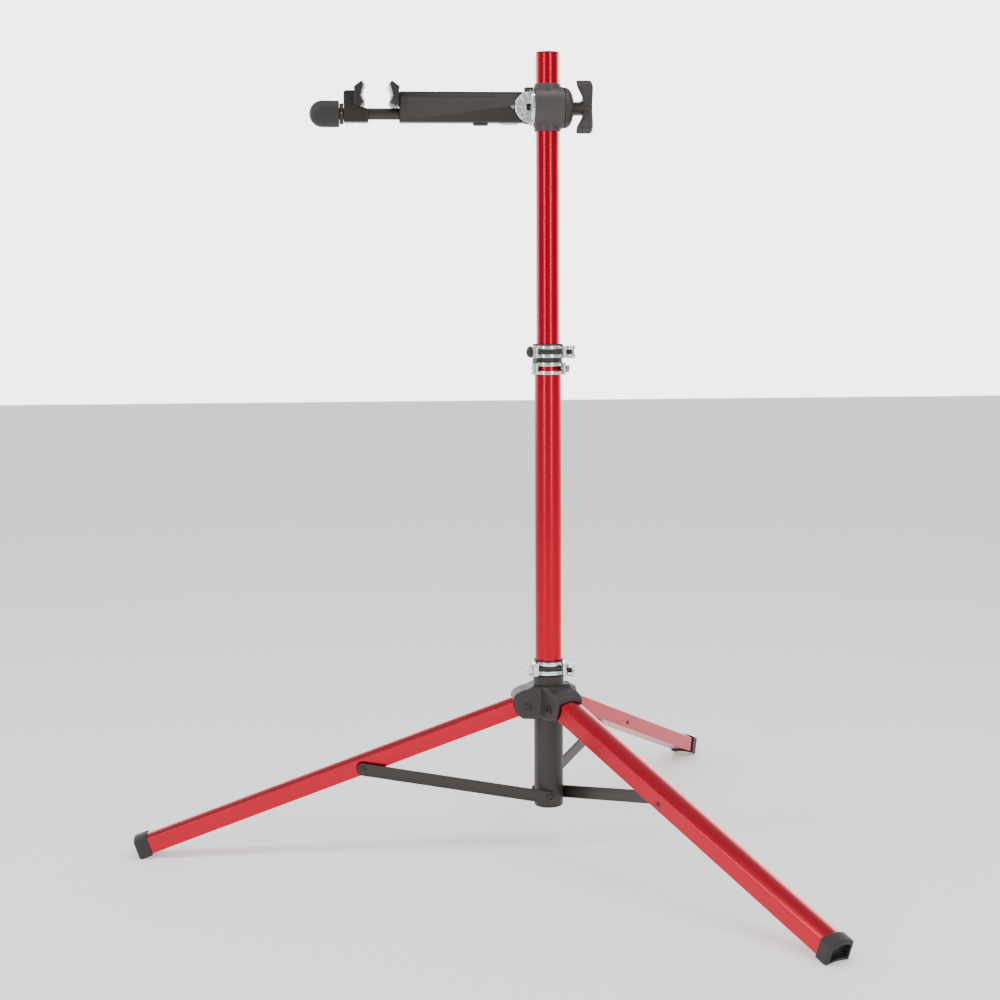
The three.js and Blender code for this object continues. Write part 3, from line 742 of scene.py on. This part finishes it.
for side, degrees in LEG_ANGLES.items():
    end = LEG_LENGTH - 12
    leg = leg_loft("leg", [
        (-2, LEG_START), (-0.4, LEG_START), (0, LEG_START + 0.4), (0, end - 0.4), (-0.4, end), (-2, end),
    ], degrees, closed=True)
    heel = []
    for along in (LEG_START - 1, -4):
        ring = []
        for lateral, across in ((-30, -30), (30, -30), (30, -6), (-30, -6)):
            x, z = from_pivot(across, along)
            ring.append((x, lateral, z))
        heel.append(swung(ring, degrees))
    pivot_hole = around(rod("hole", 4.4, -40, 40, "y", (PIVOT_R, 0, PIVOT_Z), 32), degrees)
    carve(leg, [loft("heel", heel), pivot_hole])
    finished(leg, f"{side}_leg_tube", 25)

    cap = leg_loft("cap", [
        (1.2, LEG_LENGTH - 22), (2.2, LEG_LENGTH - 21.8), (2.5, LEG_LENGTH - 20), (2.5, LEG_LENGTH - 5),
        (2.3, LEG_LENGTH - 2.5), (1.4, LEG_LENGTH - 0.6), (0, LEG_LENGTH),
    ], degrees, corner=3)
    carve(cap, [
        leg_loft("socket", [(0.3, LEG_LENGTH - 30), (0.3, end + 0.3)], degrees),
        leg_loft(
            "recess", [(-3.4, end + 2), (-3, LEG_LENGTH - 3), (-2.4, LEG_LENGTH + 5)], degrees, corner=3),
        block("ground", (-900, -900, -60), (900, 900, 0.02)),
    ])
    finished(soften(cap, 0.5, 4), f"{side}_foot_cap")

    at = (PIVOT_R, 0, PIVOT_Z)
    bolt = socket_screw(None, [
        (0, -28.3), (5.2, -28.3), (6.3, -27.6), (6.3, -26.1), (4, -26.1),
        (4, 26.1), (6.3, 26.1), (6.3, 27.6), (5.2, 28.3), (0, 28.3),
    ], "y", at, 28.3, 1.9, 2.9, 2)
    finished(around(bolt, degrees), f"{side}_leg_pivot_bolt")

    bar = slab("strut", strut_shape(10), STRUT_INNER, STRUT_INNER + STRUT_T, at=(0, 0, STRUT_Z))
    bevel(bar, 0.8, 3, 60)
    holes = [
        rod("hole", 3.4, 10, 40, "y", (0, 0, STRUT_Z), 32),
        rod("hole", 3.4, 10, 40, "y", (RIVET_X, 0, RIVET_Z), 32),
    ]
    finished(around(carve(bar, holes), degrees), f"{side}_strut")

    bolt = socket_screw(None, [
        (0, 22), (3, 22), (3, 28.3), (7, 28.3), (7, 29.8), (5, 31.3), (0, 31.3),
    ], "y", (0, 0, STRUT_Z), 31.3, 1.8, 2.5)
    finished(around(bolt, degrees), f"{side}_strut_bolt")
    rivet = turned("rivet", [
        (0, LEG_HALF + 0.3), (6, LEG_HALF + 0.3), (6, STRUT_INNER - 0.3), (3, STRUT_INNER - 0.3),
        (3, 28.3), (6.5, 28.3), (6.4, 29.2), (5, 30.3), (2.4, 30.8), (0, 30.8),
    ], "y", (RIVET_X, 0, RIVET_Z), 48, 0.3)
    finished(around(rivet, degrees), f"{side}_strut_rivet")
    face = -LEG_HALF - 0.3
    tail = turned("tail", [
        (0, face - 1.8), (1.8, face - 1.7), (3, face - 1), (3.6, face), (0, face),
    ], "y", (RIVET_X, 0, RIVET_Z), 40)
    finished(around(tail, degrees), f"{side}_leg_rivet_tail")


# ---- head ----
BARREL_LEFT, BARREL_RIGHT = span("head_barrel", 0)
BOSS_LOW, BOSS_TOP = span("head_barrel", 2)
HEAD_Z = (BOSS_LOW + BOSS_TOP) / 2
HEAD_R = 32
BOSS_R = 21
AXIS = (0, 0, HEAD_Z)

barrel = turned("barrel", [
    (0, BARREL_LEFT), (HEAD_R - 0.6, BARREL_LEFT), (HEAD_R, BARREL_LEFT + 5), (HEAD_R - 0.2, 2),
    (HEAD_R, BARREL_RIGHT), (0, BARREL_RIGHT),
], "x", AXIS, 128, 1.2)
boss = [(0, BOSS_LOW), (BOSS_R, BOSS_LOW), (BOSS_R, BOSS_TOP), (0, BOSS_TOP)]
fuse(barrel, [turned("boss", boss, round_off=1.6)])
carve(barrel, [
    rod("bore", 18.6, BOSS_LOW - 20, BOSS_TOP + 20),
    rod("spindle", 5.4, 10, 40, "x", AXIS, 40),
])
finished(soften(barrel, 0.7, 8), "head_barrel")
low, high = span("head_end_cap", 0)
finished(turned("cap", [
    (10, low), (31.3, low), (31.6, low + 1), (30.6, low + 5), (28.6, low + 8.2), (24.6, low + 11.4),
    (19, low + 13.7), (15.4, low + 14.3), (14.6, low + 13.6), (12.4, low + 13.6), (11.6, high), (10, high),
], "x", AXIS, 128, 1.2), "head_end_cap")
low, high = span("tension_spindle", 0)
finished(turned("spindle", [
    (0, low), (4.4, low), (5, low + 0.8), *thread(5, low + 2, high - 2, 1.5, 0.45), (4.2, high), (0, high),
], "x", AXIS, 64), "tension_spindle")

low, high = span("tension_knob", 0)
knob = turned("knob", [
    (0, low), (9.3, low), (9.3, 50), (11.5, 55), (12.5, 62), (12.5, high - 0.6), (11, high), (0, high),
], "x", AXIS, 96, 1)
lobes = []
for about in (-90, 30, 150):
    wing = slab("wing", [
        (54, 0), (54, 15), (51.5, 23), (43, 39), (43.6, 43.2),
        (65.4, 43.2), (68.6, 39), (69.2, 24), (69.3, 0),
    ], -8, 8, 2.2, about_x=about)
    wing = bevel(wing, 3, 4, 40)
    wing.data.transform(Matrix.Translation((0, 0, HEAD_Z * MM)))
    lobes.append(wing)
fuse(knob, lobes)
carve(knob, [
    rod("spindle", 5.3, 10, 62.5, "x", AXIS, 40),
    rod("dimple", 6, high - 1.6, high + 4, "x", AXIS, 48),
])
finished(soften(knob, 0.7, 8), "tension_knob")


# ---- coupling ----
PIN = JOINTS["arm_fold"]["pos_m"]
PIN_X = (PIN[0] - MAST_X) / MM
CHEEK_X = -28.5
COUPLING_R = 24
RIBS = (                # start and end angle, inner radius
    (73, 104, 8), (134, 140, 11), (165, 177, 11), (204, 211, 11), (239, 287, 8),
)

coupling = turned("disc", [
    (0, BARREL_LEFT - 6), (26.6, BARREL_LEFT - 6), (28, BARREL_LEFT - 4.6), (28, BARREL_LEFT - 0.3),
    (0, BARREL_LEFT - 0.3),
], "x", AXIS, 128, 0.5)
shapes = []
for side in (-1, 1):
    near, far = sorted((side * 15.4, side * 20))
    back = sorted((side * 15.4, side * 17))
    shapes.append(slab("cheek", arc(CHEEK_X, 0, COUPLING_R, 73, 287, 48), *back, at=AXIS))
    rim = arc(CHEEK_X, 0, COUPLING_R, 73, 287, 48) + arc(CHEEK_X, 0, COUPLING_R - 2, 287, 73, 48)
    shapes.append(slab("rim", rim, near, far, at=AXIS))
    for start, end, inner in RIBS:
        rib = arc(CHEEK_X, 0, COUPLING_R - 1, start, end, 8) + arc(CHEEK_X, 0, inner, end, start, 4)
        shapes.append(slab("rib", rib, near, far, at=AXIS))
    ring = arc(CHEEK_X, 0, 13, 80, 280, 24) + arc(CHEEK_X, 0, 8, 280, 80, 24)
    shapes.append(slab("ring", ring, near, far, at=AXIS))
tongue = [(BARREL_LEFT - 3, -13), (BARREL_LEFT - 3, 13), (PIN_X, 9), *arc(PIN_X, 0, 9, 110, 250, 12)]
shapes.append(slab("tongue", tongue, -8, 8, at=AXIS))
fuse(coupling, shapes)
notches = [
    block("notch", (CHEEK_X - 6, low, HEAD_Z - 5.3), (CHEEK_X + 6.5, high, HEAD_Z + 5.3), 1)
    for low, high in ((-24, -15.1), (15.1, 24))
]
carve(coupling, [rod("hole", 3, -30, 30, "y", (PIN_X, 0, HEAD_Z), 32), *notches])
finished(soften(coupling, 0.42, 3), "arm_coupling")
profile = [(0, -17), (2.6, -17), (2.6, 17), (0, 17)]
pin = socket_screw(None, profile, "y", (PIN_X, 0, HEAD_Z), 17, 0.8, 1.3, 2)
finished(pin, "fold_pin")
smoothed("fold_latch", 1.1)


# ---- clamp arm ----
ARM_LEFT = span("arm_tube", 0)[0]
ARM_LOW, ARM_HIGH = span("arm_tube", 2)
ARM_HALF_H = (ARM_HIGH - ARM_LOW) / 2
ARM_HALF_D = 15
ARM_WALL = 2.5
INSIDE = ARM_HALF_D - ARM_WALL
REACH = 27.5
TURN = math.degrees(math.asin(ARM_HALF_H / REACH))
SCREW_Z = JOINTS["clamp_knob_spin"]["pos_m"][2] / MM


def above(points):
    return [(x, z + HEAD_Z) for x, z in points]


def tongue_room():
    return block("room", (-71, -8.4, HEAD_Z - 40), (0, 8.4, HEAD_Z))


def pin_hole():
    return rod("hole", 3, -30, 30, "y", (PIN_X, 0, HEAD_Z), 32)


arm = slab("arm", above([
    (ARM_LEFT, -ARM_HALF_H), *arc(PIN_X, 0, REACH, -TURN, TURN, 40), (ARM_LEFT, ARM_HALF_H),
]), -ARM_HALF_D, ARM_HALF_D)
bevel(arm, 2.4, 8, 50)
grooves = [
    block("groove", (ARM_LEFT - 3, low, HEAD_Z + 15.6), (-81, high, HEAD_Z + 16.6))
    for low, high in ((-ARM_HALF_D - 2, -ARM_HALF_D + 0.4), (ARM_HALF_D - 0.4, ARM_HALF_D + 2))
]
carve(arm, [
    block(
        "room", (ARM_LEFT - 5, -INSIDE, HEAD_Z - ARM_HALF_H + ARM_WALL),
        (0, INSIDE, HEAD_Z + ARM_HALF_H - ARM_WALL)),
    pin_hole(),
    tongue_room(),
    block("room", (-116.5, -6.5, HEAD_Z - 40), (-92.5, 6.5, HEAD_Z), 1.2),
    *grooves,
])
bevel(arm, 0.25, 2, 55)
finished(arm, "arm_tube", 5)
smoothed("arm_hinge_insert", 0.6)
smoothed("arm_lock_plate", 0.5)
smoothed("arm_end_plug", 0.5)
smoothed("ratchet_block", 0.8)
corners = [(corner - Vector((MAST_X, 0, 0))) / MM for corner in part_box("release_button")]
button = block("button", *corners, 1.4)
ridges = []
for n in range(5):
    x = corners[0].x + 5 + n * 3.3
    ridges.append(rod("ridge", 0.7, -5, 5, "y", (x, 0, corners[0].z - 0.1), 24))
finished(carve(button, ridges), "release_button")

# ---- jaws ----
MOUTH_X = -264.9        # middle of the mouth
JAW_HALF = 35
JAW_SHAPE = [
    (-244.5, 34.5), (-241.5, 37.5), (-229.5, 28.5), (-230.9, 24.4), (-230.9, 1), (-238.5, 1), (-244.5, 3.5),
    (-239.5, 15.3),
]
PAD_SHAPE = [(-244.9, 34.2), (-239.9, 15.3), (-244.9, 4.2), (-247, 5.8), (-242.6, 15.3), (-247.2, 32.6)]
BLOCK_SHAPE = [
    (-316, -23), (-278, -23), (-278, -3), (-286, 0), (-297, 1), (-297, 25), (-313, 25), (-316, 22.5),
]


def mirrored(points):
    return [(2 * MOUTH_X - x, z) for x, z in reversed(points)]


def screw_bore():
    return rod("bore", 9.2, -400, 0, "x", (0, 0, SCREW_Z), 64)


def jaw(shape):
    made = slab("jaw", above(shape), -JAW_HALF, JAW_HALF, 1.2)
    return bevel(made, 1.4, 3, 50)


finished(jaw(JAW_SHAPE), "fixed_jaw")
finished(bevel(slab("pad", above(PAD_SHAPE), -JAW_HALF, JAW_HALF), 0.5, 3, 20), "fixed_jaw_pad")
finished(bevel(slab("pad", above(mirrored(PAD_SHAPE)), -JAW_HALF, JAW_HALF), 0.5, 3, 20), "moving_jaw_pad")
carriage = bevel(slab("block", above(BLOCK_SHAPE), -14, 14, 1.5), 2, 4, 50)
carve(fuse(carriage, [jaw(mirrored(JAW_SHAPE))]), [screw_bore()])
finished(soften(carriage, 0.55, 3), "moving_jaw")

# ---- screw, collar and bulb knob ----
SCREW_AT = (0, 0, SCREW_Z)
low, high = span("clamp_screw", 0)
SCREW_R = (span("clamp_screw", 2)[1] - span("clamp_screw", 2)[0]) / 2
finished(turned("screw", [
    (0, low), (SCREW_R - 1, low), (SCREW_R, low + 1), (SCREW_R, -222),
    *thread(SCREW_R, -220, high - 4, 2.5, 0.45), (SCREW_R - 1.5, high), (0, high),
], "x", SCREW_AT, 72), "clamp_screw")
low, high = span("knob_collar", 0)
collar = turned("collar", [
    (SCREW_R + 0.3, low), (16, low), (16, high), (SCREW_R + 0.3, high),
], "x", SCREW_AT, 96, 0.8)
carve(collar, [rod("hole", 1.9, -40, -10, "y", ((low + high) / 2, 0, SCREW_Z), 24)])
finished(collar, "knob_collar")
set_screw = turned("screw", [
    (0, -15.7), (1.3, -15.7), (1.6, -15.4), (1.6, -10), (0, -10),
], "y", ((low + high) / 2, 0, SCREW_Z), 32)
finished(carve(set_screw, [
    rod("socket", 0.85, -17, -14.4, "y", ((low + high) / 2, 0, SCREW_Z), 6)]), "collar_set_screw")
low, high = span("clamp_knob", 0)
KNOB_R = (span("clamp_knob", 2)[1] - span("clamp_knob", 2)[0]) / 2
nose = []
for step in range(25):
    angle = math.radians(180 - 90 * step / 24)
    nose.append((max(0, KNOB_R * math.sin(angle)), low + KNOB_R * (1 + math.cos(angle))))
finished(turned("knob", [
    *nose, (KNOB_R, high - 2.2), (KNOB_R - 0.4, high - 0.9), (KNOB_R - 1.6, high), (SCREW_R + 0.3, high),
    (SCREW_R + 0.3, high - 19.6), (0, high - 19.6),
], "x", SCREW_AT, 128), "clamp_knob")
